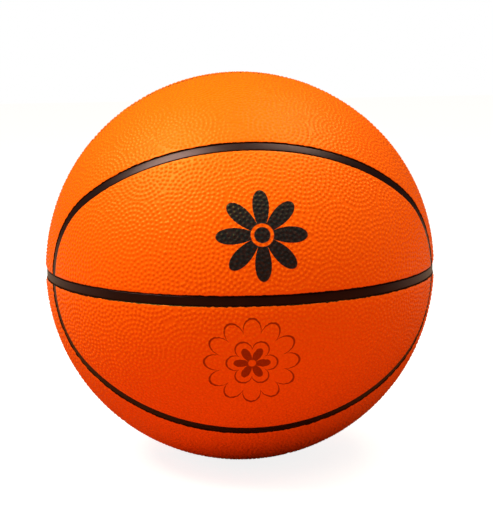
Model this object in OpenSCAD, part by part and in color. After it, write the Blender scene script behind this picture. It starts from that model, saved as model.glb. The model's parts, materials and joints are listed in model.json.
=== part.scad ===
// Basketball, size 7, as the pieces that it comes apart into.
// The origin is the middle of the ball. +Z is up, through the top crossing of the upright seam ring.
// One seam ring lies level round the waist (z = 0), a second stands upright in the plane y = 0,
// and a closed oval seam loop goes round each of the two sides that face -Y and +Y.
// A loop is four arcs of circles on the ball that run smoothly into each other: two long arcs, one
// above and one below the waist, and two round ends.

/* [Ball] */
// Diameter of the inflated ball over the tops of its pebbles. A full-size ball is 238 to 248 mm.
ball_d = 241; // [236:0.5:250]

/* [Cover] */
// Thickness of a cover panel
panel_wall = 1.5; // [1.3:0.1:2.5]
// Radius of the rolled edge of a panel, along a seam
lip_r = 0.8; // [0.4:0.1:1.1]

/* [Seams] */
// Width of a seam between two panel edges
seam_w = 5.8; // [4.5:0.1:6.4]
// Thickness of the rubber strip on the floor of a seam
strip_wall = 0.5; // [0.3:0.1:0.8]
// Angle from the waist up to the top of an oval loop
loop_top_angle = 44; // [40:0.5:47]
// Angle from the middle of an oval loop to its end, along the waist
loop_side_angle = 72.5; // [69:0.5:75]
// Angle from the centre of a loop's round end to its edge
loop_end_angle = 30; // [26:0.5:33]

/* [Inner layers] */
// Thickness of the moulded rubber carcass
carcass_wall = 0.6; // [0.4:0.1:1.2]
// Thickness of the wound thread layer
winding_wall = 0.4; // [0.3:0.1:1]
// Thickness of the bladder wall
bladder_wall = 0.7; // [0.5:0.1:1.2]
// Film of cement between bonded layers
bond_gap = 0.1; // [0.05:0.01:0.15]

/* [Valve] */
// Angle of the valve above the waist, on the side that faces +Y
valve_angle = 22; // [18:1:26]
// Diameter of the boot's neck, that comes up through the layers
neck_d = 9; // [8.5:0.1:11]
// Depth of the neck's top below the pebble tops
neck_recess = 0.4; // [0.2:0.1:0.8]
// Diameter of the boot's flange inside the bladder
flange_d = 26; // [20:1:34]
// Thickness of the boot's flange
flange_wall = 1.2; // [0.8:0.1:1.6]
// Diameter of the boot's stem where it leaves the flange
stem_d = 11; // [10:0.5:13]
// Diameter of the boot's stem at its inner tip
stem_tip_d = 8.5; // [8:0.1:9.5]
// Length of the boot's stem below the flange
stem_len = 17; // [15:0.5:22]
// Diameter of the bore that grips the plug
seat_d = 5; // [4.6:0.1:5.4]
// Diameter of the recess for the plug's head
head_seat_d = 7; // [6.6:0.1:7.4]
// Depth of the recess for the plug's head
head_seat_depth = 1.8; // [1.6:0.1:2.4]

/* [Plug] */
// Thickness of the plug's head
head_wall = 1.4; // [1.1:0.1:1.5]
// Length of the plug below its head
shank_len = 16; // [14:0.5:17]
// Diameter of the plug's shank between its ribs
shank_d = 4.2; // [3.8:0.1:4.4]
// Height of one gripping rib
rib_h = 1.6; // [1.2:0.1:2]
// Height of the straight land at the top of a rib
rib_land = 0.6; // [0.3:0.1:0.9]
// Number of gripping ribs
rib_count = 3; // [2:1:3]
// Diameter of the plug's tip
tip_d = 3.2; // [3:0.1:3.6]
// Diameter of the bore for the inflating needle
needle_d = 2.2; // [2:0.1:2.4]
// Thickness of the end of the plug, behind the needle's bore
tip_wall = 1.5; // [1:0.1:2.5]
// Length of the slit across the plug's end, that the needle opens
slit_len = 1.8; // [1.2:0.1:2]
// Width of the slit while no needle is in
slit_w = 0.1; // [0.05:0.05:0.2]
// Turn of the slit about the valve's axis, from level
slit_angle = 20; // [5:1:25]
// Running clearance between plug and boot, on the radius
plug_clearance = 0.05; // [0.02:0.01:0.1]

/* [Balance patch] */
// Diameter of the patch opposite the valve
patch_d = 34; // [28:1:40]
// Thickness of the patch opposite the valve
patch_wall = 2; // [1:0.1:3]

/* [Hidden] */
// Radii of the layers, each one film of cement inside the last
ball_r = ball_d / 2;
floor_r = ball_r - panel_wall;
carcass_r = floor_r - bond_gap;
winding_r = carcass_r - carcass_wall - bond_gap;
bladder_r = winding_r - winding_wall - bond_gap;
flange_r = bladder_r - bladder_wall - bond_gap;
// Half the width of a seam, and of the strip that lies in it
seam_half = seam_w / 2;
strip_half = seam_half - bond_gap;
// How far cutting shapes run on past what they cut
overrun = 2;
// Radius that the cutting shapes reach, so that a chord across a quarter turn clears the ball
cutter_r = 1.5 * ball_r;
// Distance from the ball's middle at which a cutting shape starts on its axis
cap_foot = ball_r / 2;
// The rolled edge is drawn as flats between these angles of its quarter round, counted from the wall
lip_angles = [0, 30, 60];
// Angle along the waist from the middle of a loop to the centre of its round end
end_azimuth = loop_side_angle - loop_end_angle;
// Each long arc of a loop has its centre this far on the other side of the waist. The arc passes
// the top of the loop and touches both end circles, which fixes the angle.
arc_drop = atan2(
    cos(loop_top_angle - loop_end_angle) - cos(end_azimuth),
    sin(loop_top_angle - loop_end_angle)
);
arc_radius = loop_top_angle + arc_drop;
// Half the turn of a long arc about its centre, from the top of the loop to where it meets an end
arc_half_turn = atan2(tan(end_azimuth), sin(arc_drop));
// Half the turn of a round end about its centre
end_half_turn = atan2(tan(arc_drop), sin(end_azimuth));
// Steps in which a long arc and a round end are drawn
arc_steps = 26;
end_steps = 22;
// Heights along the valve's axis, from the middle of the ball
neck_top = ball_r - neck_recess;
stem_top = flange_r - flange_wall;
stem_end = stem_top - stem_len;
head_floor = neck_top - head_seat_depth;
// Widths that follow from the fits
neck_hole_d = neck_d + 2 * bond_gap;
head_d = head_seat_d - 2 * plug_clearance;
rib_d = seat_d - 2 * plug_clearance;
rib_pitch = (shank_len - tip_wall) / (rib_count + 1);
needle_len = head_wall + shank_len - tip_wall;

panel_colour = [0.93, 0.36, 0.05];
strip_colour = [0.14, 0.05, 0.03];

$fn = 96;

// A point of a turned section. The seam's middle line stands at an angle from the axis;
// x goes across the seam, away from the axis, and r goes out along the middle line.
function seam_point(angle, x, r) = [
    r * sin(angle) + x * cos(angle),
    r * cos(angle) - x * sin(angle)
];

// Levels [x, r] up the edge of a panel: the top of its wall, its rolled edge, and on outwards from
// the ball. side is -1 for a panel on the near side of the seam, and 1 for one beyond it.
function rolled_levels(side) = concat(
    [for (a = lip_angles)
        [side * (seam_half + lip_r * (1 - cos(a))), ball_r - lip_r * (1 - sin(a))]],
    let (
        a = lip_angles[len(lip_angles) - 1],
        x = side * (seam_half + lip_r * (1 - cos(a)) + lip_r * sin(a)),
        r = ball_r - lip_r * (1 - sin(a)) + lip_r * cos(a)
    ) [[x, r], [x, cutter_r]]
);

// Half section of the cap on the near side of a great circle seam, with the rolled edge
module rolled_cap_section() {
    polygon(concat(
        [[0, cap_foot], seam_point(90, -seam_half, floor_r - overrun)],
        [for (p = rolled_levels(-1)) seam_point(90, p[0], p[1])],
        [[0, cutter_r]]
    ));
}

// Points of one arc of a loop, turned about an axis u from one angle to another. The angle is
// counted from e towards f, which with u are three unit vectors square to each other.
function arc_points(u, e, f, angle, x, r, from, to, steps) =
    let (p = seam_point(angle, x, r))
        [for (i = [0 : steps - 1])
            let (t = from + (to - from) * i / steps)
                p[0] * (cos(t) * e + sin(t) * f) + p[1] * u];

// One turn round the loop that faces -Y, x outside its middle line and r from the ball's middle:
// the upper long arc, the end at +X, the lower long arc and the end at -X
function loop_ring(x, r) = concat(
    arc_points(
        [0, -cos(arc_drop), -sin(arc_drop)], [0, -sin(arc_drop), cos(arc_drop)], [1, 0, 0],
        arc_radius, x, r, -arc_half_turn, arc_half_turn, arc_steps
    ),
    arc_points(
        [sin(end_azimuth), -cos(end_azimuth), 0], [cos(end_azimuth), sin(end_azimuth), 0], [0, 0, -1],
        loop_end_angle, x, r, -end_half_turn, end_half_turn, end_steps
    ),
    arc_points(
        [0, -cos(arc_drop), sin(arc_drop)], [0, -sin(arc_drop), -cos(arc_drop)], [-1, 0, 0],
        arc_radius, x, r, -arc_half_turn, arc_half_turn, arc_steps
    ),
    arc_points(
        [-sin(end_azimuth), -cos(end_azimuth), 0], [-cos(end_azimuth), sin(end_azimuth), 0], [0, 0, 1],
        loop_end_angle, x, r, -end_half_turn, end_half_turn, end_steps
    )
);

// A closed column inside the front loop, through one ring of points for each level [x, r]
module loop_column(levels) {
    rings = [for (level = levels) loop_ring(level[0], level[1])];
    n = len(rings[0]);
    last = (len(rings) - 1) * n;
    foot = len(rings) * n;
    top = foot + 1;
    points = concat([for (ring = rings) each ring], [[0, -cap_foot, 0], [0, -cutter_r, 0]]);
    walls = [for (k = [0 : n : last - n]) for (i = [0 : n - 1])
        [k + i, k + (i + 1) % n, k + n + (i + 1) % n, k + n + i]];
    feet = [for (i = [0 : n - 1]) [(i + 1) % n, i, foot]];
    tops = [for (i = [0 : n - 1]) [last + i, last + (i + 1) % n, top]];
    polyhedron(points, concat(walls, feet, tops), convexity = 4);
}

module rolled_loop(side) {
    loop_column(concat([[side * seam_half, floor_r - overrun]], rolled_levels(side)));
}

module plain_loop(x) {
    loop_column([[x, floor_r - overrun], [x, cutter_r]]);
}

// A hollow sphere, given by its outer radius and its wall
module shell(outer_r, wall) {
    difference() {
        sphere(r = outer_r);
        sphere(r = outer_r - wall);
    }
}

// Everything above the waist seam, and everything in front of the upright seam, with rolled edges
module above_waist() {
    rotate_extrude() rolled_cap_section();
}

module before_upright() {
    rotate([90, 0, 0]) rotate_extrude() rolled_cap_section();
}

// Cover panel inside the front loop, above the waist
module oval_panel() {
    color(panel_colour)
        intersection() {
            shell(ball_r, panel_wall);
            above_waist();
            rolled_loop(-1);
        }
}

// Cover panel between the front loop and the upright seam, above the waist
module arch_panel() {
    color(panel_colour)
        difference() {
            intersection() {
                shell(ball_r, panel_wall);
                above_waist();
                before_upright();
            }
            rolled_loop(1);
        }
}

// The layer of the ball that the seam strips are cut from
module strip_layer() {
    shell(floor_r + strip_wall, strip_wall);
}

// Strip under the whole waist seam
module waist_strip() {
    color(strip_colour)
        intersection() {
            strip_layer();
            cube([2 * cutter_r, 2 * cutter_r, 2 * strip_half], center = true);
        }
}

// Strip under the upright seam, above the waist strip
module upright_strip() {
    color(strip_colour)
        intersection() {
            strip_layer();
            translate([-cutter_r, -strip_half, seam_half])
                cube([2 * cutter_r, 2 * strip_half, cutter_r]);
        }
}

// Strip under the front loop, above the waist strip
module loop_strip() {
    color(strip_colour)
        difference() {
            intersection() {
                strip_layer();
                translate([-cutter_r, -cutter_r, seam_half]) cube(2 * cutter_r);
                plain_loop(strip_half);
            }
            plain_loop(-strip_half);
        }
}

// Copies its children to the side that faces +Y, or below the waist, by reflection
module placed(back = false, lower = false) {
    mirror([0, back ? 1 : 0, 0])
        mirror([0, 0, lower ? 1 : 0])
            children();
}

// Turns the +Z axis of its children to the valve's axis
module at_valve() {
    rotate([valve_angle - 90, 0, 0]) children();
}

// Hole for the boot's neck through a layer
module neck_hole() {
    at_valve()
        translate([0, 0, stem_end])
            cylinder(h = cutter_r - stem_end, d = neck_hole_d);
}

// Thin butyl air cell
module bladder() {
    color([0.12, 0.12, 0.13])
        difference() {
            shell(bladder_r, bladder_wall);
            neck_hole();
        }
}

// Layer of thread wound over the bladder in all directions
module winding() {
    color([0.92, 0.91, 0.86])
        difference() {
            shell(winding_r, winding_wall);
            neck_hole();
        }
}

// Moulded rubber layer that carries the panels and the seam strips
module carcass() {
    color([0.2, 0.18, 0.17])
        difference() {
            shell(carcass_r, carcass_wall);
            neck_hole();
        }
}

// Rubber valve boot: a flange cemented inside the bladder, a neck out to the cover,
// and a stem that reaches into the air
module valve_boot() {
    color([0.1, 0.1, 0.11])
        difference() {
            union() {
                intersection() {
                    shell(flange_r, flange_wall);
                    at_valve() cylinder(h = cutter_r, d = flange_d);
                }
                at_valve() {
                    translate([0, 0, stem_top - overrun])
                        cylinder(h = neck_top - stem_top + overrun, d = neck_d);
                    translate([0, 0, stem_end])
                        cylinder(h = stem_len, d1 = stem_tip_d, d2 = stem_d);
                }
            }
            at_valve() {
                translate([0, 0, stem_end - overrun])
                    cylinder(h = cutter_r - stem_end, d = seat_d);
                translate([0, 0, head_floor])
                    cylinder(h = cutter_r - head_floor, d = head_seat_d);
            }
        }
}

// One gripping rib of the plug, from its foot up: a barb that goes in easily and holds against pulling
function rib_outline(foot) = [
    [shank_d / 2, foot],
    [rib_d / 2, foot + rib_h - rib_land],
    [rib_d / 2, foot + rib_h],
    [shank_d / 2, foot + rib_h]
];

// Half section of the plug about its axis, r and height above the underside of its head:
// the needle's bore, the closed end, the tapered tip, the ribs from the lowest up, and the head
plug_outline = concat(
    [
        [needle_d / 2, head_wall],
        [needle_d / 2, head_wall - needle_len],
        [0, head_wall - needle_len],
        [0, -shank_len],
        [tip_d / 2, -shank_len],
        [shank_d / 2, tip_wall - shank_len]
    ],
    [for (i = [rib_count : -1 : 1]) each rib_outline(-i * rib_pitch)],
    [[shank_d / 2, 0], [head_d / 2, 0], [head_d / 2, head_wall]]
);

// Soft plug pushed into the boot, turned from its section, with the slit that seals behind the needle
module valve_plug() {
    color([0.75, 0.72, 0.66])
        at_valve()
            translate([0, 0, head_floor])
                rotate([0, 0, slit_angle])
                    difference() {
                        rotate_extrude() polygon(plug_outline);
                        translate([-slit_len / 2, -slit_w / 2, -shank_len - overrun])
                            cube([slit_len, slit_w, tip_wall + 2 * overrun]);
                    }
}

// Patch cemented inside the bladder opposite the valve, that balances the valve's mass
module balance_patch() {
    color([0.13, 0.13, 0.14])
        intersection() {
            shell(flange_r, patch_wall);
            mirror([0, 1, 0])
                mirror([0, 0, 1])
                    at_valve() cylinder(h = cutter_r, d = patch_d);
        }
}

bladder();
balance_patch();
valve_boot();
valve_plug();
winding();
carcass();
waist_strip();
upright_strip();  // upright_strip_upper
placed(lower = true) upright_strip();  // upright_strip_lower
loop_strip();  // loop_strip_front_upper
placed(lower = true) loop_strip();  // loop_strip_front_lower
placed(back = true) loop_strip();  // loop_strip_back_upper
placed(back = true, lower = true) loop_strip();  // loop_strip_back_lower
oval_panel();  // oval_panel_front_upper
placed(lower = true) oval_panel();  // oval_panel_front_lower
union() {  // oval_panel_back_upper
    difference() {
        placed(back = true) oval_panel();
        neck_hole();
    }
}
placed(back = true, lower = true) oval_panel();  // oval_panel_back_lower
arch_panel();  // arch_panel_front_upper
placed(lower = true) arch_panel();  // arch_panel_front_lower
placed(back = true) arch_panel();  // arch_panel_back_upper
placed(back = true, lower = true) arch_panel();  // arch_panel_back_lower
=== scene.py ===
# %% [markdown]
# # A basketball, panel by panel
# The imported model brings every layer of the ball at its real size: bladder, winding, carcass, seam
# strips, valve and eight smooth cover panels. What it can't bring is the skin. In this lesson each
# smooth panel gives way to one with real pebbles and rolled edges, every layer gets a material,
# and the ball is lit and photographed as it lies in a pale studio.

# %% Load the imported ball
import json
import math

import bpy
import numpy as np
from mathutils import Matrix, Vector


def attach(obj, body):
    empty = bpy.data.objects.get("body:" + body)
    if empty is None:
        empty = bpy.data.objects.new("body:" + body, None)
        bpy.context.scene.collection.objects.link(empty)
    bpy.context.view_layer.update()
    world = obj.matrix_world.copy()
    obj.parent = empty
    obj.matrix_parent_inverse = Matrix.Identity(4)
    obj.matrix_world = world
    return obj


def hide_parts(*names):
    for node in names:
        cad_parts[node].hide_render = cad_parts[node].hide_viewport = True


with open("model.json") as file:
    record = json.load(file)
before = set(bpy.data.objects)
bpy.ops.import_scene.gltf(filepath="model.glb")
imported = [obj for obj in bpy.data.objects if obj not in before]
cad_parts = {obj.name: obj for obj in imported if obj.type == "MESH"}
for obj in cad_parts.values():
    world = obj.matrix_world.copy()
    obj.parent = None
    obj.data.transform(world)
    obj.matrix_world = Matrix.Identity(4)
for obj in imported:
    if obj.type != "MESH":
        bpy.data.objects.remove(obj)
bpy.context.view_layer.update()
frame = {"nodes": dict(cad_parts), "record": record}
mounts = {mount["name"]: mount for mount in frame["record"]["mounts"]}

# %% [markdown]
# ## Sizes
# All lengths are metres. The radius over the pebble tops is read from the frame, at the point that
# the ball rests on, and the valve's direction is read from the needle bore. The seam pattern is
# three families of circles on the ball: the level waist ring, the upright ring, and an oval loop
# round each of the two sides that face -Y and +Y. A loop is two long arcs that run smoothly into
# two round ends, so two circles describe it.

# %% Sizes of the ball and its seams
MM = 0.001
BALL_R = -mounts["rest_point"]["pos_m"][2]
VALVE_AXIS = np.array(mounts["needle_bore"]["axis"], float)

PANEL_WALL = 1.5 * MM
SEAM_HALF = 2.9 * MM
LIP_R = 0.8 * MM
NECK_HOLE_R = 4.6 * MM
FLOOR_R = BALL_R - PANEL_WALL

LOOP_TOP = math.radians(44)
LOOP_SIDE = math.radians(72.5)
LOOP_END = math.radians(30)
END_AZIMUTH = LOOP_SIDE - LOOP_END
ARC_DROP = math.atan2(math.cos(LOOP_TOP - LOOP_END) - math.cos(END_AZIMUTH),
                      math.sin(LOOP_TOP - LOOP_END))
ARC_RADIUS = LOOP_TOP + ARC_DROP

# Where the panel's top ends and its edge starts to roll down, as an angle from the seam's middle
EDGE_ANGLE = (SEAM_HALF + LIP_R) / BALL_R
print(f"ball radius {BALL_R / MM:.1f} mm, long arc radius {math.degrees(ARC_RADIUS):.2f} degrees")

# %% [markdown]
# ## Circles on a ball
# A circle on a ball has a centre direction and an angular radius. With two directions square to
# the centre, `ahead` and `aside`, a turn round the centre gives each of its points. Both circles of
# the front loop are kept here as such frames, with the turn at which one hands over to the other.

# %% The two circles of the front loop
def unit(vectors):
    """Each vector divided by its length."""
    vectors = np.asarray(vectors, float)
    return vectors / np.linalg.norm(vectors, axis=-1, keepdims=True)


def circle(centre, ahead, aside, radius, turns):
    """centre * cos(radius) + (ahead * cos(turn) + aside * sin(turn)) * sin(radius), for all turns."""
    turns = np.asarray(turns, float)[:, None]
    return centre * math.cos(radius) + (ahead * np.cos(turns) + aside * np.sin(turns)) * math.sin(radius)


UP = np.array([0.0, 0.0, 1.0])
RIGHT = np.array([1.0, 0.0, 0.0])
FRONT = np.array([0.0, -1.0, 0.0])
END_CENTRE = np.array([math.sin(END_AZIMUTH), -math.cos(END_AZIMUTH), 0.0])
END_AHEAD = np.array([math.cos(END_AZIMUTH), math.sin(END_AZIMUTH), 0.0])
ARC_CENTRE = np.array([0.0, -math.cos(ARC_DROP), -math.sin(ARC_DROP)])
ARC_AHEAD = np.array([0.0, -math.sin(ARC_DROP), math.cos(ARC_DROP)])
END_HALF_TURN = math.atan2(math.tan(ARC_DROP), math.sin(END_AZIMUTH))
ARC_HALF_TURN = math.atan2(math.tan(END_AZIMUTH), math.sin(ARC_DROP))
print("the end hands over to the long arc after", round(math.degrees(END_HALF_TURN), 2), "degrees")

# %% [markdown]
# ## Panel grids
# A panel is a sheet with four sides, so it can be a grid of two parameters, `s` along the panel and
# `t` across it. The oval half has the waist below, the long arc above and a round end at each side.
# The arch panel lies between the loop and the upright ring. A Coons patch fills four border curves:
# it adds the two straight blends of opposite borders and takes away the blend of the four corners.
# Pushing each point out to the ball then gives directions, with no row of points bunching at a pole.

# %% Grids of directions for the two panel shapes
def coons(bottom, top, left, right):
    """(1-t) bottom + t top + (1-s) left + s right - blend of the corners, pushed out to the unit ball."""
    s = np.linspace(0, 1, len(bottom))[None, :, None]
    t = np.linspace(0, 1, len(left))[:, None, None]
    across = (1 - t) * bottom[None] + t * top[None]
    along = (1 - s) * left[:, None] + s * right[:, None]
    corners = ((1 - s) * (1 - t) * bottom[0] + s * (1 - t) * bottom[-1]
               + (1 - s) * t * top[0] + s * t * top[-1])
    return unit(across + along - corners)


def evenly(points, count):
    """count points at equal steps of length along a curve given by many points."""
    steps = np.linalg.norm(np.diff(points, axis=0), axis=1)
    length = np.concatenate([[0], np.cumsum(steps)])
    wanted = np.linspace(0, length[-1], count)
    return unit(np.stack([np.interp(wanted, length, points[:, k]) for k in range(3)], axis=1))


FLIP_X = np.array([-1.0, 1.0, 1.0])


def both_sides(half):
    """A curve from its left end to its right end, from its right half, which runs up to the middle."""
    return np.concatenate([half * FLIP_X, half[::-1][1:]])


def waist_run(azimuth_a, azimuth_b, count):
    """Points along the panel edge at the waist, at equal steps of azimuth from -Y towards +X."""
    azimuth = np.linspace(azimuth_a, azimuth_b, count)
    level = math.sin(EDGE_ANGLE)
    flat = math.cos(EDGE_ANGLE)
    return np.stack([flat * np.sin(azimuth), -flat * np.cos(azimuth), np.full(count, level)], axis=1)


def loop_half(offset, count, level):
    """The right half of the loop's upper side, from the angle `level` up to its top.

    It runs `offset` outside the loop's middle line, and comes as a part of the end and of the long arc.
    """
    end_radius = LOOP_END + offset
    first_turn = math.asin(math.sin(level) / math.sin(end_radius))
    end = circle(END_CENTRE, END_AHEAD, UP, end_radius, np.linspace(first_turn, END_HALF_TURN, count))
    arc = circle(ARC_CENTRE, ARC_AHEAD, RIGHT, ARC_RADIUS + offset, np.linspace(ARC_HALF_TURN, 0, count))
    return end, arc


def azimuth_of(point):
    """Angle of a direction round +Z, from -Y towards +X."""
    return math.atan2(point[0], -point[1])


FINE = 2001
OVAL_CELLS = (560, 152)
ARCH_CELLS = (600, 144)


def oval_grid():
    """Directions of the front upper oval panel: rows from the waist up, columns from left to right."""
    columns, rows = OVAL_CELLS[0] + 1, OVAL_CELLS[1] + 1
    end, arc = loop_half(-EDGE_ANGLE, FINE, EDGE_ANGLE)
    corner = azimuth_of(end[0])
    right = evenly(end, rows)
    top = evenly(both_sides(arc), columns)
    return coons(waist_run(-corner, corner, columns), top, right * FLIP_X, right)


def arch_grid():
    """Directions of the front upper arch panel, from the loop out to the upright ring."""
    columns, rows = ARCH_CELLS[0] + 1, ARCH_CELLS[1] + 1
    end, arc = loop_half(EDGE_ANGLE, FINE, EDGE_ANGLE)
    inner = evenly(both_sides(np.concatenate([end, arc[1:]])), columns)
    lowest = math.asin(math.tan(EDGE_ANGLE))
    turn = np.linspace(math.pi - lowest, lowest, columns)
    outer = circle(FRONT, RIGHT, UP, math.pi / 2 - EDGE_ANGLE, turn)
    right = waist_run(azimuth_of(inner[-1]), azimuth_of(outer[-1]), rows)
    return coons(inner, outer, right * FLIP_X, right)


GRIDS = {"oval": oval_grid(), "arch": arch_grid()}
for shape, grid in GRIDS.items():
    cell = np.linalg.norm(np.diff(grid, axis=1), axis=2) * BALL_R / MM
    print(shape, grid.shape, f"steps along from {cell.min():.2f} to {cell.max():.2f} mm")

# %% [markdown]
# ## Pebbles
# The skin of a ball comes out of a mould whose pebbles were set in whorls: rings of dots round many
# centres, cut off where one whorl meets the next. A texture would only fake it, so the pebbles are
# worked out from that rule. The whorl centres are a golden-angle spiral over the ball. Round each
# centre the rings lie one pitch apart and hold as many pebbles as fit. For every point of a grid
# the nearest pebbles of its two nearest whorls are found, all points at once.

# %% Whorl centres and the height of the pebbles
PITCH = 2.75 * MM
PEBBLE_R = 1.25 * MM
PEBBLE_HEIGHT = 0.58 * MM
LAND_R = BALL_R - PEBBLE_HEIGHT
WHORLS = 150
GOLDEN_ANGLE = math.pi * (3 - math.sqrt(5))

# A pebble may reach this far over the border to a rival whorl, and one that is cut smaller is left out
BORDER_ROOM = 0.35 * PITCH
LEAST_PEBBLE_R = 0.3 * PITCH
RIVALS = 5


def whorl_centres():
    """A golden-angle spiral from pole to pole: equal steps of height, and one golden angle a step."""
    index = np.arange(WHORLS)
    height = 1 - (2 * index + 1) / WHORLS
    ring = np.sqrt(1 - height ** 2)
    turn = index * GOLDEN_ANGLE
    return np.stack([ring * np.cos(turn), height, ring * np.sin(turn)], axis=1)


def side_directions(centres):
    """For each centre, two directions square to it and to each other."""
    helper = np.where(np.abs(centres[:, 2:]) < 0.9, UP, RIGHT)
    first = unit(np.cross(helper, centres))
    return first, np.cross(centres, first)


CENTRES = whorl_centres()
FIRST, SECOND = side_directions(CENTRES)
print("whorls:", WHORLS, "about", round(math.sqrt(4 * math.pi * BALL_R ** 2 / WHORLS) / MM), "mm apart")


def whorl_domes(points, owner, rivals):
    """Height from 0 to 1 over the pebbles of the whorl `owner` of each point.

    Ring k is k pitches from the centre and holds round(2 pi sin(k pitch / R) R / pitch) pebbles. The
    nearest pebble on three rings is a candidate, and its height at the point is half a cosine wave of
    the distance to it. A pebble shrinks where the border to a rival whorl cuts it.
    """
    centre, first, second = CENTRES[owner], FIRST[owner], SECOND[owner]
    reach = np.arccos(np.clip((points * centre).sum(1), -1, 1))
    turn = np.arctan2((points * second).sum(1), (points * first).sum(1))
    ring_step = PITCH / BALL_R
    height = np.zeros(len(points))
    for ring_offset in (-1, 0, 1):
        ring = np.maximum(np.round(reach / ring_step) + ring_offset, 0)
        count = np.maximum(np.round(2 * math.pi * np.sin(ring * ring_step) / ring_step), 1)
        start = ring * GOLDEN_ANGLE + owner
        for side in (-0.5, 0.5):
            place = np.floor((turn - start) * count / (2 * math.pi) + 0.5 + side)
            angle = start + place * 2 * math.pi / count
            lean = (ring * ring_step)[:, None]
            pebble = (centre * np.cos(lean)
                      + (first * np.cos(angle)[:, None] + second * np.sin(angle)[:, None]) * np.sin(lean))
            gap = np.full(len(points), 1.0)
            for rival in rivals.T:
                apart = np.linalg.norm(centre - CENTRES[rival], axis=1) + (rival == owner)
                own_lead = ((pebble * (centre - CENTRES[rival])).sum(1)) / apart
                gap = np.where(rival == owner, gap, np.minimum(gap, own_lead))
            radius = np.clip(gap * BALL_R + BORDER_ROOM, 0, PEBBLE_R)
            distance = np.linalg.norm(points - pebble, axis=1) * BALL_R
            share = np.clip(distance / np.maximum(radius, LEAST_PEBBLE_R), 0, 1)
            dome = (0.5 + 0.5 * np.cos(math.pi * share)) * (radius / PEBBLE_R)
            height = np.maximum(height, np.where(radius > LEAST_PEBBLE_R, dome, 0))
    return height


def pebbles(points):
    """Height from 0 to 1 of the pebbles at directions from the middle of the ball."""
    nearest = np.argsort(-(points @ CENTRES.T), axis=1)[:, :RIVALS]
    own = whorl_domes(points, nearest[:, 0], nearest)
    next_door = whorl_domes(points, nearest[:, 1], nearest)
    return np.maximum(own, next_door)


# %% [markdown]
# Beside the seams and round the valve the mould is smooth. The distance to the nearest seam has a
# closed form: folded into one eighth of the ball, a point is compared with the circle that the loop
# follows there, and with the two planes of the ring seams.

# %% Distance to the seams and to the valve
def seam_distance(points):
    """Length along the ball from each direction to the middle line of the nearest seam."""
    folded = np.abs(points) * [1, -1, 1]
    fence = np.cross(ARC_CENTRE, END_CENTRE)
    past_join = folded @ fence * np.sign(RIGHT @ fence) > 0
    to_end = LOOP_END - np.arccos(np.clip(folded @ END_CENTRE, -1, 1))
    to_arc = ARC_RADIUS - np.arccos(np.clip(folded @ ARC_CENTRE, -1, 1))
    loop = np.abs(np.where(past_join, to_end, to_arc))
    rings = np.arcsin(np.clip(np.minimum(np.abs(points[:, 1]), np.abs(points[:, 2])), 0, 1))
    return BALL_R * np.minimum(loop, rings)


def smooth_step(value, low, high):
    """0 below low, 1 above high, and 3x^2 - 2x^3 between them."""
    x = np.clip((value - low) / (high - low), 0, 1)
    return x * x * (3 - 2 * x)


SMOOTH_BAND = 0.2 * MM
FADE = 1.0 * MM
VALVE_LAND_R = 7.2 * MM


def relief(points):
    """Pebbles, faded out beside the seams and round the valve. 0 is the smooth land, 1 a pebble's top."""
    seam_edge = SEAM_HALF + LIP_R + SMOOTH_BAND
    fade = smooth_step(seam_distance(points), seam_edge, seam_edge + FADE)
    from_valve = np.linalg.norm(points - VALVE_AXIS, axis=1) * BALL_R
    fade = fade * smooth_step(from_valve, VALVE_LAND_R, VALVE_LAND_R + FADE)
    return pebbles(points) * fade


middle = GRIDS["oval"][OVAL_CELLS[1] // 2, OVAL_CELLS[0] // 2]
print(f"from the middle of an oval panel to a seam: {seam_distance(middle[None])[0] / MM:.1f} mm")

# %% [markdown]
# ## One panel as a closed shell
# A panel is 1.5 mm thick, with its edge rolled down towards the seam. The top is the grid itself.
# Its border is then carried down as a profile: a quarter round in four steps, and a short wall. Each
# step moves the border sideways, square to it, and lowers it. In a corner the sideways direction is
# a mitre, so that both seams keep their width. The inner face lies on the carcass and is never seen,
# so its cells are eight times as long, and those along the edge take in all points of the border.
#
# The panel gets its own map, because its grid unrolls without a cut: `s` and `t` are the map's two
# axes, with the rolled edge as a frame round them and the inner face in a strip below.

# %% Panel helpers
STEP = 8
ROLL_ANGLES = np.radians([22.5, 45, 67.5, 90])
MAP_LOW = np.array([0.03, 0.2])
MAP_HIGH = np.array([0.97, 0.97])
INNER_LOW = np.array([0.03, 0.03])
INNER_HIGH = np.array([0.97, 0.14])
MAP_EDGE_STEP = np.array([0.0016, 0.0048])
print("the edge rolls down in", len(ROLL_ANGLES), "steps")


def border_ids(columns, rows):
    """Grid indices once round the border, anticlockwise: bottom, right, top and left side."""
    grid = np.arange(rows * columns).reshape(rows, columns)
    return np.concatenate([grid[0, :-1], grid[:-1, -1], grid[-1, :0:-1], grid[:0:-1, 0]])


def sideways(border):
    """Direction square to a closed border and along the ball, away from the panel, with mitred corners."""
    ahead = unit(np.cross(np.roll(border, -1, axis=0) - border, border))
    behind = np.roll(ahead, 1, axis=0)
    return (ahead + behind) / (1 + (ahead * behind).sum(1, keepdims=True))


def lowered(border, offset, radius):
    """Border directions moved sideways by offset, at a radius from the middle of the ball."""
    return unit(border * BALL_R + sideways(border) * offset) * radius


def bands(rings):
    """Quads between each closed ring of indices and the next one, which lies further out or lower."""
    quads = []
    for upper, lower in zip(rings[:-1], rings[1:]):
        quads.append(np.stack([upper, lower, np.roll(lower, -1), np.roll(upper, -1)], axis=1))
    return np.concatenate(quads)


def grid_quads(ids):
    """Quads between neighbouring rows and columns of a grid of indices."""
    return np.stack([ids[:-1, :-1], ids[:-1, 1:], ids[1:, 1:], ids[1:, :-1]], axis=-1)


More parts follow.
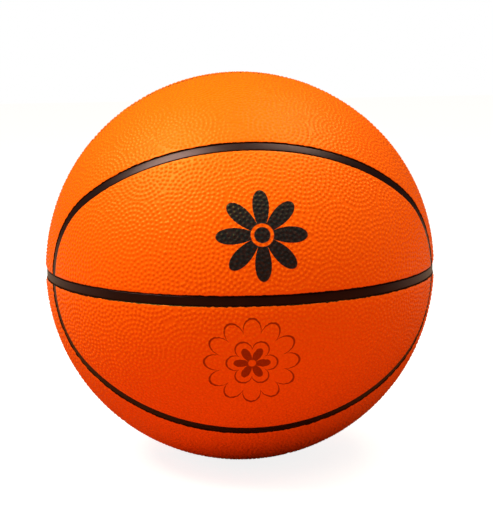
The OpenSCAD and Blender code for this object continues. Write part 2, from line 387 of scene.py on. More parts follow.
class Shell:
    """Points with their relief, map places that stand for them, and faces, gathered piece by piece.

    The relief is 1 on a pebble's top, 0 on the land and -1 at the foot of a rolled edge. Materials read it.
    """

    def __init__(self):
        self.points, self.heights, self.places, self.owners, self.faces = [], [], [], [], []
        self.point_count = self.place_count = 0

    def add(self, points, places, heights=0.0):
        """Adds points, each with one place on the map, and returns the indices that faces use."""
        points = np.asarray(points, float).reshape(-1, 3)
        self.points.append(points)
        self.heights.append(np.broadcast_to(heights, len(points)))
        self.point_count += len(points)
        return self.place(np.arange(self.point_count - len(points), self.point_count), places)

    def place(self, owners, places):
        """Gives points a place on the map, and returns the indices that faces use."""
        self.owners.append(owners)
        self.places.append(np.asarray(places, float).reshape(-1, 2))
        self.place_count += len(owners)
        return np.arange(self.place_count - len(owners), self.place_count)

    def again(self, indices, places):
        """The same points with other places on the map, so that a shell stays closed at a cut in its map."""
        return self.place(np.concatenate(self.owners)[indices], places)

    def face(self, faces):
        """Adds faces with the same number of corners, one row each."""
        self.faces.append(np.atleast_2d(faces))

    def mesh(self, name):
        """One mesh of the points that faces use, with the map, and the relief as a point attribute."""
        corners = np.concatenate([faces.ravel() for faces in self.faces])
        sizes = np.concatenate([np.full(len(faces), faces.shape[1]) for faces in self.faces])
        used, vertices = np.unique(np.concatenate(self.owners)[corners], return_inverse=True)
        mesh = bpy.data.meshes.new(name)
        mesh.vertices.add(len(used))
        mesh.vertices.foreach_set("co", np.concatenate(self.points)[used].astype(np.float32).ravel())
        mesh.loops.add(len(corners))
        mesh.loops.foreach_set("vertex_index", vertices.astype(np.int32).ravel())
        mesh.polygons.add(len(sizes))
        mesh.polygons.foreach_set("loop_start", (np.cumsum(sizes) - sizes).astype(np.int32))
        mesh.polygons.foreach_set("use_smooth", np.ones(len(sizes), bool))
        mesh.update(calc_edges=True)
        places = np.concatenate(self.places)[corners].astype(np.float32)
        mesh.uv_layers.new(name="OFBake").data.foreach_set("uv", places.ravel())
        heights = np.concatenate(self.heights)[used].astype(np.float32)
        mesh.attributes.new("relief", "FLOAT", "POINT").data.foreach_set("value", heights)
        return mesh


# %% [markdown]
# ## The hole for the valve
# One panel has a round hole for the valve's neck. A block of cells round it is left out of the grid
# and filled with an O-grid: lines run from the block's square border to the circle, each at its own
# angle round the valve, so the hole is truly round. Its rim is rolled like the seam edges, only
# tighter, and its wall goes down to the inner face.

# %% Filling a block of a grid up to a round hole
BLOCK = 32
HOLE_RINGS = 14
RIM_ROLL = 0.35 * MM
RIM_ANGLES = np.radians([30, 60, 90])

# Where the hole's rim, the steps of its roll, its wall and its foot lie on the map
RIM_SHARE = 0.45
RIM_SHARE_STEP = 0.08
WALL_SHARE = 0.5
INNER_HOLE_SHARE = 0.6


def block_start(grid, centre):
    """First column and row, both on a coarse line, of the block whose middle is nearest to a direction."""
    row, column = np.unravel_index(np.argmax(grid @ centre), grid.shape[:2])
    return [int(round((index - BLOCK / 2) / STEP)) * STEP for index in (column, row)]


def ring_round(centre, toward, radius):
    """Directions at an angular radius from a centre, each on the side where another direction lies."""
    side = unit(toward - (toward @ centre)[:, None] * centre)
    return centre * math.cos(radius) + side * math.sin(radius)


def shrunk(places, share):
    """Map places drawn in towards their middle."""
    middle = places.mean(0)
    return middle + (places - middle) * share


print("hole for the neck:", round(2 * NECK_HOLE_R / MM, 1), "mm across, filled in", HOLE_RINGS, "rings")

# %% [markdown]
# ## The panel itself
# Everything is put together here once, and eight panels come from it: the front upper oval and arch,
# and their mirror images below the waist and on the back. A mirrored grid would turn inside out, so
# its columns are read from the other end when the number of mirrored axes is odd.

# %% Build a panel
def placed(name, data):
    """A new object in the scene that holds a mesh, a lamp or a camera."""
    thing = bpy.data.objects.new(name, data)
    bpy.context.scene.collection.objects.link(thing)
    return thing


def map_place(columns, rows, low, high):
    """Map places of a whole grid, spread between two corners of the map."""
    u = np.linspace(low[0], high[0], columns)
    v = np.linspace(low[1], high[1], rows)
    return np.stack(np.meshgrid(u, v), axis=-1)


def map_sideways(columns, rows):
    """Which way the map grows beyond each border point, with both axes at the corners."""
    grid = np.zeros((rows, columns, 2))
    grid[0, :, 1] = -1
    grid[-1, :, 1] = 1
    grid[:, 0, 0] = -1
    grid[:, -1, 0] = 1
    return grid.reshape(-1, 2)[border_ids(columns, rows)]


def add_skin(shell, directions, places):
    """Adds points on the outside of the ball, raised by the pebbles there."""
    height = relief(directions)
    return shell.add(directions * (LAND_R + PEBBLE_HEIGHT * height)[:, None], places, height)


def panel_shell(grid, hole=None):
    """The closed shell of one panel over a grid of directions, with a hole round the direction `hole`."""
    rows, columns = grid.shape[:2]
    shell = Shell()
    places = map_place(columns, rows, MAP_LOW, MAP_HIGH)
    top = add_skin(shell, grid.reshape(-1, 3), places).reshape(rows, columns)
    border = border_ids(columns, rows)
    directions = grid.reshape(-1, 3)[border]
    rim_places = places.reshape(-1, 2)[border]
    grow = map_sideways(columns, rows) * MAP_EDGE_STEP
    rings = [top.ravel()[border]]
    for step, angle in enumerate(ROLL_ANGLES, start=1):
        radius = LAND_R - LIP_R * (1 - math.cos(angle))
        points = lowered(directions, LIP_R * math.sin(angle), radius)
        rings.append(shell.add(points, rim_places + grow * step, -step / len(ROLL_ANGLES)))
    foot = shell.add(lowered(directions, LIP_R, FLOOR_R), rim_places + grow * (len(ROLL_ANGLES) + 1), -1.0)
    shell.face(bands(rings + [foot]))

    coarse = grid[::STEP, ::STEP]
    inner_places = map_place(columns, rows, INNER_LOW, INNER_HIGH)
    inner = np.full(grid.shape[:2], -1)
    coarse_ids = shell.add(coarse * FLOOR_R, inner_places[::STEP, ::STEP])
    inner[::STEP, ::STEP] = coarse_ids.reshape(coarse.shape[:2])
    inner.ravel()[border] = shell.again(foot, inner_places.reshape(-1, 2)[border])
    cells = grid_quads(top)
    left_out = np.zeros(cells.shape[:2], bool)
    if hole is not None:
        column, row = block_start(grid, hole)
        left_out[row:row + BLOCK, column:column + BLOCK] = True
        block = (slice(row, row + BLOCK + 1), slice(column, column + BLOCK + 1))
        fill_block(shell, hole, grid[block], places[block], inner_places[block], top[block], inner[block])
    shell.face(cells[~left_out])
    inner_faces(shell, inner, left_out[::STEP, ::STEP])
    return shell


def inner_faces(shell, inner, left_out):
    """Coarse cells of the inner face, turned to look inwards, with every border point that lies on them."""
    for row in range(0, inner.shape[0] - 1, STEP):
        for column in range(0, inner.shape[1] - 1, STEP):
            if left_out[row // STEP, column // STEP]:
                continue
            block = inner[row:row + STEP + 1, column:column + STEP + 1]
            ring = block.ravel()[border_ids(STEP + 1, STEP + 1)]
            shell.face(ring[ring >= 0][::-1])


def fill_block(shell, hole, grid, places, inner_places, top, inner):
    """The O-grid from a block's border to the hole, its rim and wall, and the inner face round it."""
    loop = border_ids(BLOCK + 1, BLOCK + 1)
    outside = grid.reshape(-1, 3)[loop]
    outside_places = places.reshape(-1, 2)[loop]
    hole_angle = (NECK_HOLE_R + RIM_ROLL) / BALL_R
    edge = ring_round(hole, outside, hole_angle)
    edge_places = shrunk(outside_places, RIM_SHARE)
    rings = [top.ravel()[loop]]
    for share in np.linspace(0, 1, HOLE_RINGS + 1)[1:]:
        here = outside_places + (edge_places - outside_places) * share
        rings.append(add_skin(shell, unit(outside + (edge - outside) * share), here))
    for step, angle in enumerate(RIM_ANGLES, start=1):
        narrowed = hole_angle - RIM_ROLL * math.sin(angle) / BALL_R
        radius = LAND_R - RIM_ROLL * (1 - math.cos(angle))
        here = shrunk(edge_places, 1 - RIM_SHARE_STEP * step)
        rings.append(shell.add(ring_round(hole, outside, narrowed) * radius, here))
    wall = ring_round(hole, outside, NECK_HOLE_R / BALL_R) * FLOOR_R
    wall = shell.add(wall, shrunk(edge_places, WALL_SHARE))
    shell.face(bands(rings + [wall])[:, ::-1])
    inner_loop = inner.ravel()[loop]
    wall = shell.again(wall, shrunk(inner_places.reshape(-1, 2)[loop], INNER_HOLE_SHARE))
    for start in range(0, len(loop), STEP):
        run = np.arange(start, start + STEP + 1) % len(loop)
        shell.face(np.concatenate([wall[run], inner_loop[run[[-1, 0]]]]))


def panel_grid(shape, back, lower):
    """The shape's grid on its own part of the ball, with its columns turned round if it is mirrored."""
    grid = GRIDS[shape] * [1, -1 if back else 1, -1 if lower else 1]
    return grid[:, ::-1] if back != lower else grid


def build_panel(shape, back, lower):
    """The object that stands for one cover panel."""
    node = f"{shape}_panel_{'back' if back else 'front'}_{'lower' if lower else 'upper'}"
    has_valve = shape == "oval" and back and not lower
    shell = panel_shell(panel_grid(shape, back, lower), VALVE_AXIS if has_valve else None)
    mesh = shell.mesh(node + "_skin")
    panel = placed(node + "_skin", mesh)
    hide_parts(node)
    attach(panel, "ball")
    print(panel.name, "triangles:", len(mesh.loops) - 2 * len(mesh.polygons))
    return panel


panels = [build_panel(shape, back, lower)
          for shape in GRIDS for back in (False, True) for lower in (False, True)]

# %% [markdown]
# ## Seam strips
# The dark strip on the floor of a seam is a low rubber band with rounded shoulders. It is a
# profile carried along a path: for each point of the profile, its sideways place widens or narrows
# the circle that the seam follows, and its height moves it out from the middle of the ball. The
# strips of the loops and of the upright ring end against the side of the waist strip.

# %% Strip profile and paths
STRIP_HALF = 2.6 * MM
STRIP_WALL = 0.5 * MM
STRIP_CROWN = 0.03 * MM
SHOULDER_R = 0.48 * MM
SHOULDER_POINTS = 6
CROWN_POINTS = 7
STRIP_STEP = 1.1 * MM
LOOP_HALF_LENGTH = 2.9 * BALL_R

# The strip's map: stacked lengths with a margin round each, and its two ends as patches beside them
STRIP_FOLDS = 8
FOLD_LENGTH = 0.9
FOLD_MARGIN = 0.1
END_PLACE = np.array([0.965, 0.3])
END_SIZE = np.array([0.015, 0.06])
OTHER_END = np.array([0, 0.3])


def strip_profile():
    """Sideways place and height of each point, from the left foot over the crown to the right foot."""
    turn = np.radians(np.linspace(180, 90, SHOULDER_POINTS))
    shoulder = np.stack([SHOULDER_R * np.cos(turn), SHOULDER_R * np.sin(turn)], axis=1)
    left = shoulder + [-STRIP_HALF + SHOULDER_R, STRIP_WALL - SHOULDER_R]
    flat = np.linspace(left[-1, 0], -left[-1, 0], CROWN_POINTS + 2)[1:-1]
    crown = STRIP_CROWN * (1 - (flat / left[-1, 0]) ** 2)
    middle = np.stack([flat, STRIP_WALL + crown], axis=1)
    foot = np.array([[-STRIP_HALF, 0.0]])
    return np.concatenate([foot, left, middle, left[::-1] * [-1, 1], foot * [-1, 1]])


PROFILE = strip_profile()


def strip_shell(rows, ring):
    """The shell of a strip from one row of directions for each point of the profile.

    The map is cut into stacked lengths, so that a long thin strip fills a square map.
    """
    grid = np.swapaxes(rows * (FLOOR_R + PROFILE[:, 1])[:, None, None], 0, 1)
    crown = grid.shape[1] // 2
    facing = np.cross(grid[0, crown + 1] - grid[0, crown], grid[1, crown] - grid[0, crown]) @ grid[0, crown]
    grid = grid if facing > 0 else grid[::-1]
    shell = Shell()
    ids = shell.add(grid, np.zeros((grid.shape[0] * grid.shape[1], 2))).reshape(grid.shape[:2])
    ids = np.concatenate([ids, ids[:, :1]], axis=1)
    ids = np.concatenate([ids, ids[:1]]) if ring else ids
    width = np.linalg.norm(np.diff(PROFILE, axis=0, append=PROFILE[:1]), axis=1)
    around = np.concatenate([[0], np.cumsum(width)]) / width.sum()
    length = -(-(len(ids) - 1) // STRIP_FOLDS)
    for fold in range(STRIP_FOLDS):
        part = ids[fold * length:(fold + 1) * length + 1]
        u = MAP_LOW[0] + FOLD_LENGTH * np.arange(len(part))[:, None] / length
        v = (fold + FOLD_MARGIN + (1 - 2 * FOLD_MARGIN) * around[None]) / STRIP_FOLDS
        places = np.stack(np.broadcast_arrays(u, v), axis=-1)
        part = shell.again(part.ravel(), places).reshape(part.shape)
        shell.face(grid_quads(part).reshape(-1, 4))
    if not ring:
        end_place = END_PLACE + PROFILE / STRIP_HALF * END_SIZE
        shell.face(shell.again(ids[0, :-1], end_place)[::-1])
        shell.face(shell.again(ids[-1, :-1], end_place + OTHER_END))
    return shell


def waist_rows():
    """The waist ring, for each sideways place of the profile."""
    count = round(2 * math.pi * BALL_R / STRIP_STEP)
    turns = np.linspace(0, 2 * math.pi, count, endpoint=False)
    return np.stack([circle(UP, RIGHT, -FRONT, math.pi / 2 + x / BALL_R, turns) for x in PROFILE[:, 0]])


def upright_rows():
    """The upper half of the upright ring, from side to side of the waist strip."""
    count = round(math.pi * BALL_R / STRIP_STEP)
    rows = []
    for x in PROFILE[:, 0]:
        radius = math.pi / 2 + x / BALL_R
        first = math.asin(math.sin(STRIP_HALF / BALL_R) / math.sin(radius))
        rows.append(circle(FRONT, RIGHT, UP, radius, np.linspace(first, math.pi - first, count)))
    return np.stack(rows)


def loop_rows():
    """The upper half of the front loop, from side to side of the waist strip."""
    rows = []
    for x in PROFILE[:, 0]:
        end, arc = loop_half(x / BALL_R, FINE, STRIP_HALF / BALL_R)
        whole = both_sides(np.concatenate([end, arc[1:]]))
        rows.append(evenly(whole, round(LOOP_HALF_LENGTH / STRIP_STEP)))
    return np.stack(rows)


def build_strip(node, rows, ring=False):
    """The object that stands for one seam strip."""
    strip = placed(node + "_band", strip_shell(rows, ring).mesh(node + "_band"))
    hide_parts(node)
    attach(strip, "ball")
    return strip


loop_line, upright_line = loop_rows(), upright_rows()
strips = [build_strip("waist_strip", waist_rows(), ring=True)]
for level, z in (("upper", 1), ("lower", -1)):
    strips.append(build_strip(f"upright_strip_{level}", upright_line * [1, 1, z]))
for face, y in (("front", 1), ("back", -1)):
    for level, z in (("upper", 1), ("lower", -1)):
        strips.append(build_strip(f"loop_strip_{face}_{level}", loop_line * [1, y, z]))
print("strips:", [(strip.name, len(strip.data.polygons)) for strip in strips])

# %% [markdown]
# ## Writing shader maths
# A material is a graph of nodes. Written as Python it reads as a formula: a small class wraps the
# output of a node, and + - * on it add Math nodes. Everything else, such as noise or a mix of
# colours, comes from one method that takes the node's type, its settings, and its inputs.

# %% A paint box: wrapped sockets and one method for nodes
class Value:
    """The output of a node, which can be added to, multiplied with and so on."""

    def __init__(self, graph, socket):
        self.graph, self.socket = graph, socket

    def maths(self, operation, *others):
        """A Math node of this value and the others."""
        return self.graph.node("ShaderNodeMath", {"operation": operation}, self, *others)

    def __add__(self, other):
        return self.maths("ADD", other)

    def __sub__(self, other):
        return self.maths("SUBTRACT", other)

    def __mul__(self, other):
        return self.maths("MULTIPLY", other)

    def __pow__(self, other):
        return self.maths("POWER", other)

    def __rsub__(self, other):
        return self.graph.node("ShaderNodeMath", {"operation": "SUBTRACT"}, other, self)

    __radd__ = __add__
    __rmul__ = __mul__

    def between(self, low, high):
        """0 at low, 1 at high, clamped, with soft ends."""
        return self.graph.node("ShaderNodeMapRange", {"interpolation_type": "SMOOTHSTEP"}, self, low, high)


class Graph:
    """A tree of shader nodes, of a material or of the world."""

    def __init__(self, owner):
        owner.use_nodes = True
        self.tree = owner.node_tree

    def node(self, kind, settings, *inputs, **named):
        """A node of a type, with its settings set first, then its inputs by place or by name.

        `output` among the settings names the output to use, and is the first one if left out.
        """
        node = self.tree.nodes.new(kind)
        settings = dict(settings)
        output = settings.pop("output", None)
        for name, value in settings.items():
            setattr(node, name, value)
        enabled = [socket for socket in node.inputs if socket.enabled]
        for socket, value in zip(enabled, inputs):
            self.feed(socket, value)
        for name, value in named.items():
            self.feed(node.inputs[name], value)
        outputs = [socket for socket in node.outputs if socket.enabled]
        return Value(self, node.outputs[output] if output else outputs[0])

    def feed(self, socket, value):
        """Links an output, or sets a number, a vector or a colour."""
        if isinstance(value, Value):
            self.tree.links.new(value.socket, socket)
        elif socket.type == "RGBA":
            socket.default_value = (*value, 1.0)
        else:
            socket.default_value = value

    def mix(self, share, first, second):
        """A colour that goes from first to second as share goes from 0 to 1."""
        return self.node("ShaderNodeMix", {"data_type": "RGBA"}, share, first, second)

    def vector(self, operation, first, second):
        """One number from two vectors, such as their distance or their dot product."""
        return self.node("ShaderNodeVectorMath", {"operation": operation, "output": "Value"}, first, second)

    def ray(self, kind):
        """1 for rays of a kind, such as camera rays, and 0 for all others."""
        return self.node("ShaderNodeLightPath", {"output": kind})


class Paint(Graph):
    """One material, with its shader and the coordinates that its patterns read."""

    def __init__(self, name, **constants):
        self.material = bpy.data.materials.new(name)
        super().__init__(self.material)
        self.shader = self.tree.nodes["Principled BSDF"]
        for socket, value in constants.items():
            self.shader.inputs[socket.replace("_", " ")].default_value = value
        self.place = self.node("ShaderNodeTexCoord", {"output": "Object"})

    def noise(self, scale, detail=2.0, roughness=0.5):
        """Soft noise round 0.5, with `scale` features a metre."""
        return self.node("ShaderNodeTexNoise", {}, self.place, scale, detail, roughness)

    def along(self, vector):
        """How far a point lies along a vector from the middle of the ball."""
        return self.vector("DOT_PRODUCT", self.place, tuple(float(x) for x in vector))

    def bump(self, height, distance, strength=1.0):
        """A normal bent by a height of 0 to 1 that stands for a distance in metres."""
        return self.node("ShaderNodeBump", {}, Strength=strength, Distance=distance, Height=height)

    def finish(self, **sockets):
        """Feeds the shader, and gives back the material."""
        for name, value in sockets.items():
            self.feed(self.shader.inputs[name.replace("_", " ")], value)
        return self.material


# %% [markdown]
# ## The cover
# The skin is moulded rubber in one orange. Painted shade makes it a little darker and redder in the
# valleys between the pebbles, with faint clouds from the mixing there, and a fine grain on top.
# The dark paint of the seams runs a little way up the rolled edges, and its border wavers.
# Two prints lie on the front. They are drawn with the distance and the angle round the print's
# centre, read from two axes square to the ball there, so they keep their shape on the curved skin.
# The ink is a trace thinner in specks.

# %% Cover material
ORANGE = (0.88, 0.150, 0.0026)
# Painted shade: the next two oranges darken and redden the valleys between the pebbles, and the share after
# them is how much of the land's colour they take.
SHADED_VALLEY_ORANGE = (0.76, 0.090, 0.0014)
SHADED_CLOUD_ORANGE = (0.78, 0.095, 0.0015)
VALLEY_SHADE_SHARE = 0.2
SEAM_BLACK = (0.016, 0.0028, 0.0035)

# How far down the rolled edge the seam paint begins and is full, and how much its border wavers
PAINT_EDGE = (0.30, 0.42)
PAINT_WOBBLE = 1.2

# The prints: azimuth and elevation of each, colours, how solid they are, and how soft their edges
ROSETTE_AT = np.radians([2.5, 17.6])
FLOWER_AT = np.radians([-0.8, -17.7])
INK_BLACK = (0.0055, 0.0145, 0.028)
INK_RED = (0.20, 0.008, 0.002)
INK_LEAST = 0.97
RED_COVERS = 0.85
PETAL_SOFT = 0.35 * MM
LINE_SOFT = 0.3 * MM


class Print:
    """Distance and angle round the centre of a print, for petals and rings."""

    def __init__(self, paint, azimuth, elevation):
        flat = math.cos(elevation)
        centre = np.array([math.sin(azimuth) * flat, -math.cos(azimuth) * flat, math.sin(elevation)])
        right = unit(np.cross(UP, centre))
        across, over = paint.along(right), paint.along(np.cross(centre, right))
        self.distance = (across * across + over * over) ** 0.5
        self.angle = over.maths("ARCTAN2", across)
        self.facing = paint.along(centre).between(0.0, 0.02)

    def reach(self, count, inner, outer, power):
        """Radius of a flower's edge: inner + (outer - inner) * |cos(count * angle / 2)| ** power."""
        lobes = (self.angle * (count / 2)).maths("COSINE").maths("ABSOLUTE") ** power
        return inner + (outer - inner) * lobes

    def inside(self, limit):
        """1 where the distance is below a limit, with a soft edge."""
        return (limit - self.distance).between(-PETAL_SOFT, PETAL_SOFT)

    def petals(self, count, inner, outer, power):
        """Pointed petals from inner to outer radius."""
        return self.inside(self.reach(count, inner, outer, power)) * (1 - self.inside(inner))

    def outline(self, count, inner, outer, power, line):
        """The edge of such petals, as a line of a given width."""
        off_edge = (self.distance - self.reach(count, inner, outer, power)).maths("ABSOLUTE")
        return (line / 2 - off_edge).between(-LINE_SOFT, LINE_SOFT)


def cover_material():
    """Orange over the relief with painted shade in its valleys, then the two prints, then the seam paint,
    each mixed over what is below.
    """
    paint = Paint("pebbled_cover", IOR=1.36, Specular_Tint=(1.0, 0.80, 0.12, 1.0))
    height = paint.node("ShaderNodeAttribute", {"attribute_name": "relief", "output": "Fac"})
    clouds = paint.noise(18.0, 3.0).between(0.35, 0.65)
    grain = paint.noise(2600.0, 2.0, 0.6)
    # Painted shade: where the relief is low, between the pebbles, the orange goes towards the darker valley
    # tones.
    cloudy_valley_shade = paint.mix(clouds, SHADED_VALLEY_ORANGE, SHADED_CLOUD_ORANGE)
    raised = height.between(0.0, 0.4) * VALLEY_SHADE_SHARE + (1 - VALLEY_SHADE_SHARE)
    colour = paint.mix(raised, cloudy_valley_shade, ORANGE)

    hold = INK_LEAST + (1 - INK_LEAST) * paint.noise(700.0, 3.0, 0.7).between(0.30, 0.62)
    rosette = Print(paint, *ROSETTE_AT)
    black = rosette.petals(count=8, inner=6.5 * MM, outer=26.0 * MM, power=0.75)
    black = black + rosette.inside(4.6 * MM)
    black = (black * rosette.facing * hold).maths("MINIMUM", 1.0)
    colour = paint.mix(black, colour, INK_BLACK)

    flower = Print(paint, *FLOWER_AT)
    red = flower.outline(count=12, inner=18.5 * MM, outer=27.0 * MM, power=0.55, line=1.2 * MM)
    red = red + flower.petals(count=6, inner=2.2 * MM, outer=10.5 * MM, power=0.8)
    red = red + flower.outline(count=6, inner=8.5 * MM, outer=14.5 * MM, power=0.6, line=1.0 * MM)
    red = (red * flower.facing * hold * RED_COVERS).maths("MINIMUM", 1.0)
    colour = paint.mix(red, colour, INK_RED)

    wobble = PAINT_WOBBLE * (paint.noise(420.0, 2.0) - 0.5)
    colour = paint.mix((wobble - height).between(*PAINT_EDGE), colour, SEAM_BLACK)

    gloss = 0.35 + 0.08 * (grain - 0.5)
    normal = paint.bump(grain, 0.03 * MM, 0.5)
    return paint.finish(Base_Color=colour, Roughness=gloss, Normal=normal)


cover = cover_material()
for panel in panels:
    panel.data.materials.append(cover)
print("cover material on", len(panels), "panels")

# %% [markdown]
# ## Rubber, thread and butyl
# The seam strips are smooth dark rubber with a satin shine. The layers under the skin never show
# while the ball is whole, but they are real pieces, so each has its own finish: moulded carcass,
# wound thread, butyl bladder with a bloom of talc, and a pale, softer plug.

# %% Materials for the strips and the CAD pieces
def strip_material():
    """Dark rubber with soft clouds, and a fine scuff in its roughness and its normal."""
    paint = Paint("seam_rubber", Specular_IOR_Level=0.5, Specular_Tint=(1.0, 0.58, 0.86, 1.0))
    clouds = paint.noise(60.0, 3.0).between(0.35, 0.7)
    colour = paint.mix(clouds, (0.0080, 0.0022, 0.0012), (0.0125, 0.0036, 0.0020))
    scuff = paint.noise(900.0, 3.0, 0.6)
    normal = paint.bump(scuff, 0.02 * MM, 0.4)
    return paint.finish(Base_Color=colour, Roughness=0.30 + 0.16 * scuff, Normal=normal)


def rubber_material(name, pattern, span, colours, roughness, grain, shine):
    """Rubber whose colour and roughness follow one soft noise, with a finer noise as its grain."""
    paint = Paint(name, Specular_IOR_Level=shine)
    tone = paint.noise(*pattern).between(*span)
    scale, depth, strength = grain
    normal = paint.bump(paint.noise(scale), depth, strength)
    rough = roughness[0] + roughness[1] * tone
    return paint.finish(Base_Color=paint.mix(tone, *colours), Roughness=rough, Normal=normal)


def thread_material():
    """Thread wound along great circles: stripes across tilted axes, laid over each other in patches, with
    painted shade in the grooves between the threads.
    """
    paint = Paint("wound_thread", Specular_IOR_Level=0.3)
    thread_width = 0.6 * MM
    height = None
    for number, axis in enumerate(unit([[1, 0.3, 0.2], [-0.4, 1, 0.5], [0.3, -0.6, 1]])):
        stripes = (paint.along(axis) * (math.pi / thread_width)).maths("SINE").maths("ABSOLUTE")
        patch = paint.noise(35.0 + 9.0 * number, 1.0).between(0.46, 0.54)
        height = stripes if height is None else height + (stripes - height) * patch
    # Painted shade: the colour is darker where the thread's height is low, in the grooves between the
    # threads.
    colour = paint.mix(height, (0.30, 0.27, 0.21), (0.74, 0.71, 0.62))
    normal = paint.bump(height, 0.2 * MM)
    return paint.finish(Base_Color=colour, Roughness=0.85 - 0.1 * height, Normal=normal)


CARCASS = rubber_material("carcass_rubber", pattern=(40.0, 4.0), span=(0.3, 0.7),
                          colours=((0.010, 0.008, 0.007), (0.022, 0.018, 0.015)),
                          roughness=(0.62, 0.2), grain=(1500.0, 0.05 * MM, 0.6), shine=0.4)
BUTYL = rubber_material("butyl", pattern=(55.0, 5.0, 0.65), span=(0.45, 0.75),
                        colours=((0.008, 0.008, 0.009), (0.0402, 0.0402, 0.04085)),
                        roughness=(0.42, 0.35), grain=(1200.0, 0.03 * MM, 0.5), shine=0.45)
PLUG = rubber_material("plug_rubber", pattern=(400.0, 3.0), span=(0.3, 0.7),
                       colours=((0.42, 0.38, 0.30), (0.52, 0.47, 0.38)),
                       roughness=(0.5, 0.15), grain=(2500.0, 0.02 * MM, 0.4), shine=0.4)
FINISHES = {"cover": cover, "seam_rubber": strip_material(), "thread": thread_material(),
            "carcass_rubber": CARCASS, "butyl": BUTYL, "plug_rubber": PLUG}
for strip in strips:
    strip.data.materials.append(FINISHES["seam_rubber"])
for part in frame["record"]["subparts"]:
    piece = frame["nodes"][part["node"]]
    piece.data.materials.clear()
    piece.data.materials.append(FINISHES[part["material_slot"]])
print("finishes:", sorted(FINISHES))

# %% [markdown]
# ## Floor
# The ball lies on a white sweep, as in a studio. To the camera the floor is white and takes a faint
# shadow. The light that it throws back is warm, like the ball that lights it, and weak where the
# ball shades it. In the ball's shine it is dim close by and pale far behind, which gives the dark
# strips their grey ends. The Light Path node tells these three kinds of rays apart.

# %% Floor
FLOOR_HALF = 3.0
FLOOR_WHITE = 0.85
FLOOR_SHADE = (0.34, 0.50, 0.64)

BOUNCE_RED = (0.62, 0.195, 0.034)
BOUNCE_SHADED = (0.12, 0.025, 0.006)
SHADED_SPOT = (0.07, -0.02, -BALL_R)
SHADED_REACH = (0.05, 0.13)

MIRRORED_NEAR = (0.20, 0.10, 0.05)
MIRRORED_FAR = (0.75, 0.52, 0.34)
FOOT_OF_BALL = (0.0, 0.0, -BALL_R)
FAR_REACH = (0.3, 0.8)
FAR_BEHIND = (-0.3, 0.2)


def floor_material():
    """White to the camera, else warm in the light that it throws back, or near and far tones in shine."""
    material = bpy.data.materials.new("studio_floor")
    graph = Graph(material)
    here = graph.node("ShaderNodeTexCoord", {"output": "Object"})
    glow = graph.node("ShaderNodeEmission", {}, (1.0, 1.0, 1.0), FLOOR_WHITE)
    shade = graph.node("ShaderNodeBsdfDiffuse", {}, FLOOR_SHADE)
    white = graph.node("ShaderNodeAddShader", {}, glow, shade)

    lit = graph.vector("DISTANCE", here, SHADED_SPOT).between(*SHADED_REACH)
    warm = graph.node("ShaderNodeBsdfDiffuse", {}, graph.mix(lit, BOUNCE_SHADED, BOUNCE_RED))

    behind = graph.node("ShaderNodeSeparateXYZ", {"output": "Y"}, here).between(*FAR_BEHIND)
    far = graph.vector("DISTANCE", here, FOOT_OF_BALL).between(*FAR_REACH) * behind
    dim = graph.node("ShaderNodeBsdfDiffuse", {}, MIRRORED_NEAR)
    pale = graph.node("ShaderNodeEmission", {}, MIRRORED_FAR, 1.0)
    mirror = graph.node("ShaderNodeMixShader", {}, far, dim, pale)

    unseen = graph.node("ShaderNodeMixShader", {}, graph.ray("Is Glossy Ray"), warm, mirror)
    surface = graph.node("ShaderNodeMixShader", {}, graph.ray("Is Camera Ray"), unseen, white)
    graph.feed(graph.tree.nodes["Material Output"].inputs["Surface"], surface)
    return material


def floor_piece():
    """A level square under the lowest pebbles."""
    corners = [(-1, -1), (1, -1), (1, 1), (-1, 1)]
    mesh = bpy.data.meshes.new("studio_floor")
    mesh.from_pydata([(x * FLOOR_HALF, y * FLOOR_HALF, -BALL_R) for x, y in corners], [], [(0, 1, 2, 3)])
    mesh.materials.append(floor_material())
    floor = placed("studio_floor", mesh)
    return floor


floor = floor_piece()
print(floor.name, round(2 * FLOOR_HALF), "m square, at", round(-BALL_R / MM, 1), "mm")

# %% [markdown]
# ## Light
# A large softbox at the upper left models the pebbles and gives the ball its warm shoulder. A broad
# fill lifts the rest, without a shine of its own, and a small box at the right puts a sheen on the
# seam there. The sky is white behind the ball, warm as light, and nearly dark in its shine, so that
# the strips stay dark.

# %% Sky and softboxes
SKY_LIGHT = 0.575
SKY_WARM = (1.0, 0.43, 0.28)
SKY_SHINE_FRONT = 0.01
SKY_SHINE_BACK = 0.03
SHINE_TURN = (-0.9, 0.3)
LAMP_WARM = (0.90, 0.90, 0.55)


def white_sky():
    """White to the camera, warm and fainter as light, and nearly dark in shine, least so from behind."""
    world = bpy.data.worlds.new("white_sky")
    bpy.context.scene.world = world
    graph = Graph(world)
    seen, mirrored = graph.ray("Is Camera Ray"), graph.ray("Is Glossy Ray")
    direction = graph.node("ShaderNodeTexCoord", {"output": "Generated"})
    backwards = graph.node("ShaderNodeSeparateXYZ", {"output": "Y"}, direction)
    shine = SKY_SHINE_FRONT + (SKY_SHINE_BACK - SKY_SHINE_FRONT) * backwards.between(*SHINE_TURN)
    light = SKY_LIGHT + (shine - SKY_LIGHT) * mirrored
    background = graph.tree.nodes["Background"]
    plain = (seen + mirrored).maths("MINIMUM", 1.0)
    graph.feed(background.inputs["Color"], graph.mix(plain, SKY_WARM, (1.0, 1.0, 1.0)))
    graph.feed(background.inputs["Strength"], light + (1 - light) * seen)


def softbox(name, place, size, power, mirrored=True):
    """A square area lamp at a place, turned to the ball. One that isn't mirrored gives light, no shine."""
    lamp = bpy.data.lights.new(name, "AREA")
    lamp.size = size
    lamp.energy = power
    lamp.color = LAMP_WARM
    box = placed(name, lamp)
    box.visible_glossy = mirrored
    turn = Vector(place).to_track_quat("Z", "Y").to_matrix().to_4x4()
    box.matrix_world = Matrix.Translation(place) @ turn
    return box


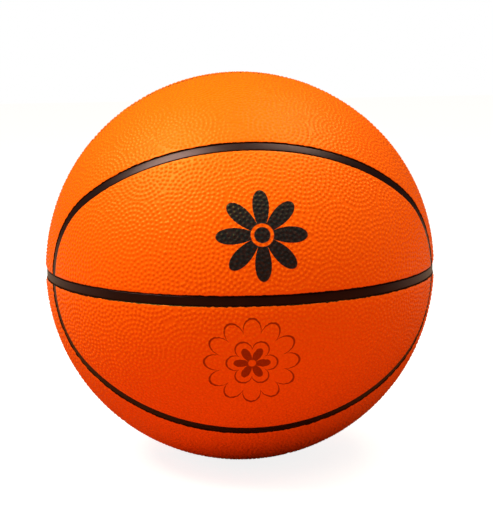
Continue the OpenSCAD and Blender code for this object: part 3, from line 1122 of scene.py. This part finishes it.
white_sky()
lamps = [softbox("key", place=(-0.66, -0.20, 1.03), size=0.62, power=18.2),
         softbox("fill", place=(0.42, -0.38, 1.15), size=0.9, power=5.5, mirrored=False),
         softbox("right", place=(0.45, 0.03, 1.10), size=0.5, power=5.5)]
print("lamps:", [(lamp.name, lamp.data.energy) for lamp in lamps])

# %% [markdown]
# ## Camera
# The camera stands nine ball radii away and ten degrees up. It looks along the line to the ball's
# middle, is rolled a little, and is then leaned so that the ball lies a little low in the picture.

# %% Camera
PICTURE = (493, 506)
BALL_AT = (239.9, 265.25)
FOCAL_PIXELS = 1738.0
SENSOR = 36.0
CAMERA_DISTANCE = 9 * BALL_R
CAMERA_TURN = math.radians(3.88)
CAMERA_ELEVATION = math.radians(9.7)
CAMERA_ROLL = math.radians(-0.76)


def place_camera():
    """The camera: level axes first, then turned by its roll, then leaned by the ball's place in pixels."""
    flat = math.cos(CAMERA_ELEVATION)
    down = math.sin(CAMERA_ELEVATION)
    ahead = np.array([math.sin(CAMERA_TURN) * flat, math.cos(CAMERA_TURN) * flat, -down])
    level = unit(np.cross(ahead, UP))
    upright = np.cross(level, ahead)
    across = math.cos(CAMERA_ROLL) * level + math.sin(CAMERA_ROLL) * upright
    over = math.cos(CAMERA_ROLL) * upright - math.sin(CAMERA_ROLL) * level
    lean_right = (PICTURE[0] / 2 - BALL_AT[0]) / FOCAL_PIXELS
    lean_up = (BALL_AT[1] - PICTURE[1] / 2) / FOCAL_PIXELS
    aim = unit(ahead + lean_right * across + lean_up * over)
    across = unit(across - (across @ aim) * aim)
    over = np.cross(across, aim)
    data = bpy.data.cameras.new("camera")
    data.sensor_fit = "HORIZONTAL"
    data.sensor_width = SENSOR
    data.lens = FOCAL_PIXELS * SENSOR / PICTURE[0]
    camera = placed("camera", data)
    turn = Matrix([[across[k], over[k], -aim[k]] for k in range(3)]).to_4x4()
    camera.matrix_world = Matrix.Translation(-ahead * CAMERA_DISTANCE) @ turn
    bpy.context.scene.camera = camera
    return camera


camera = place_camera()
bpy.context.scene.view_settings.view_transform = "Standard"
print("camera lens", round(camera.data.lens, 1), "mm at", [round(x, 3) for x in camera.location])
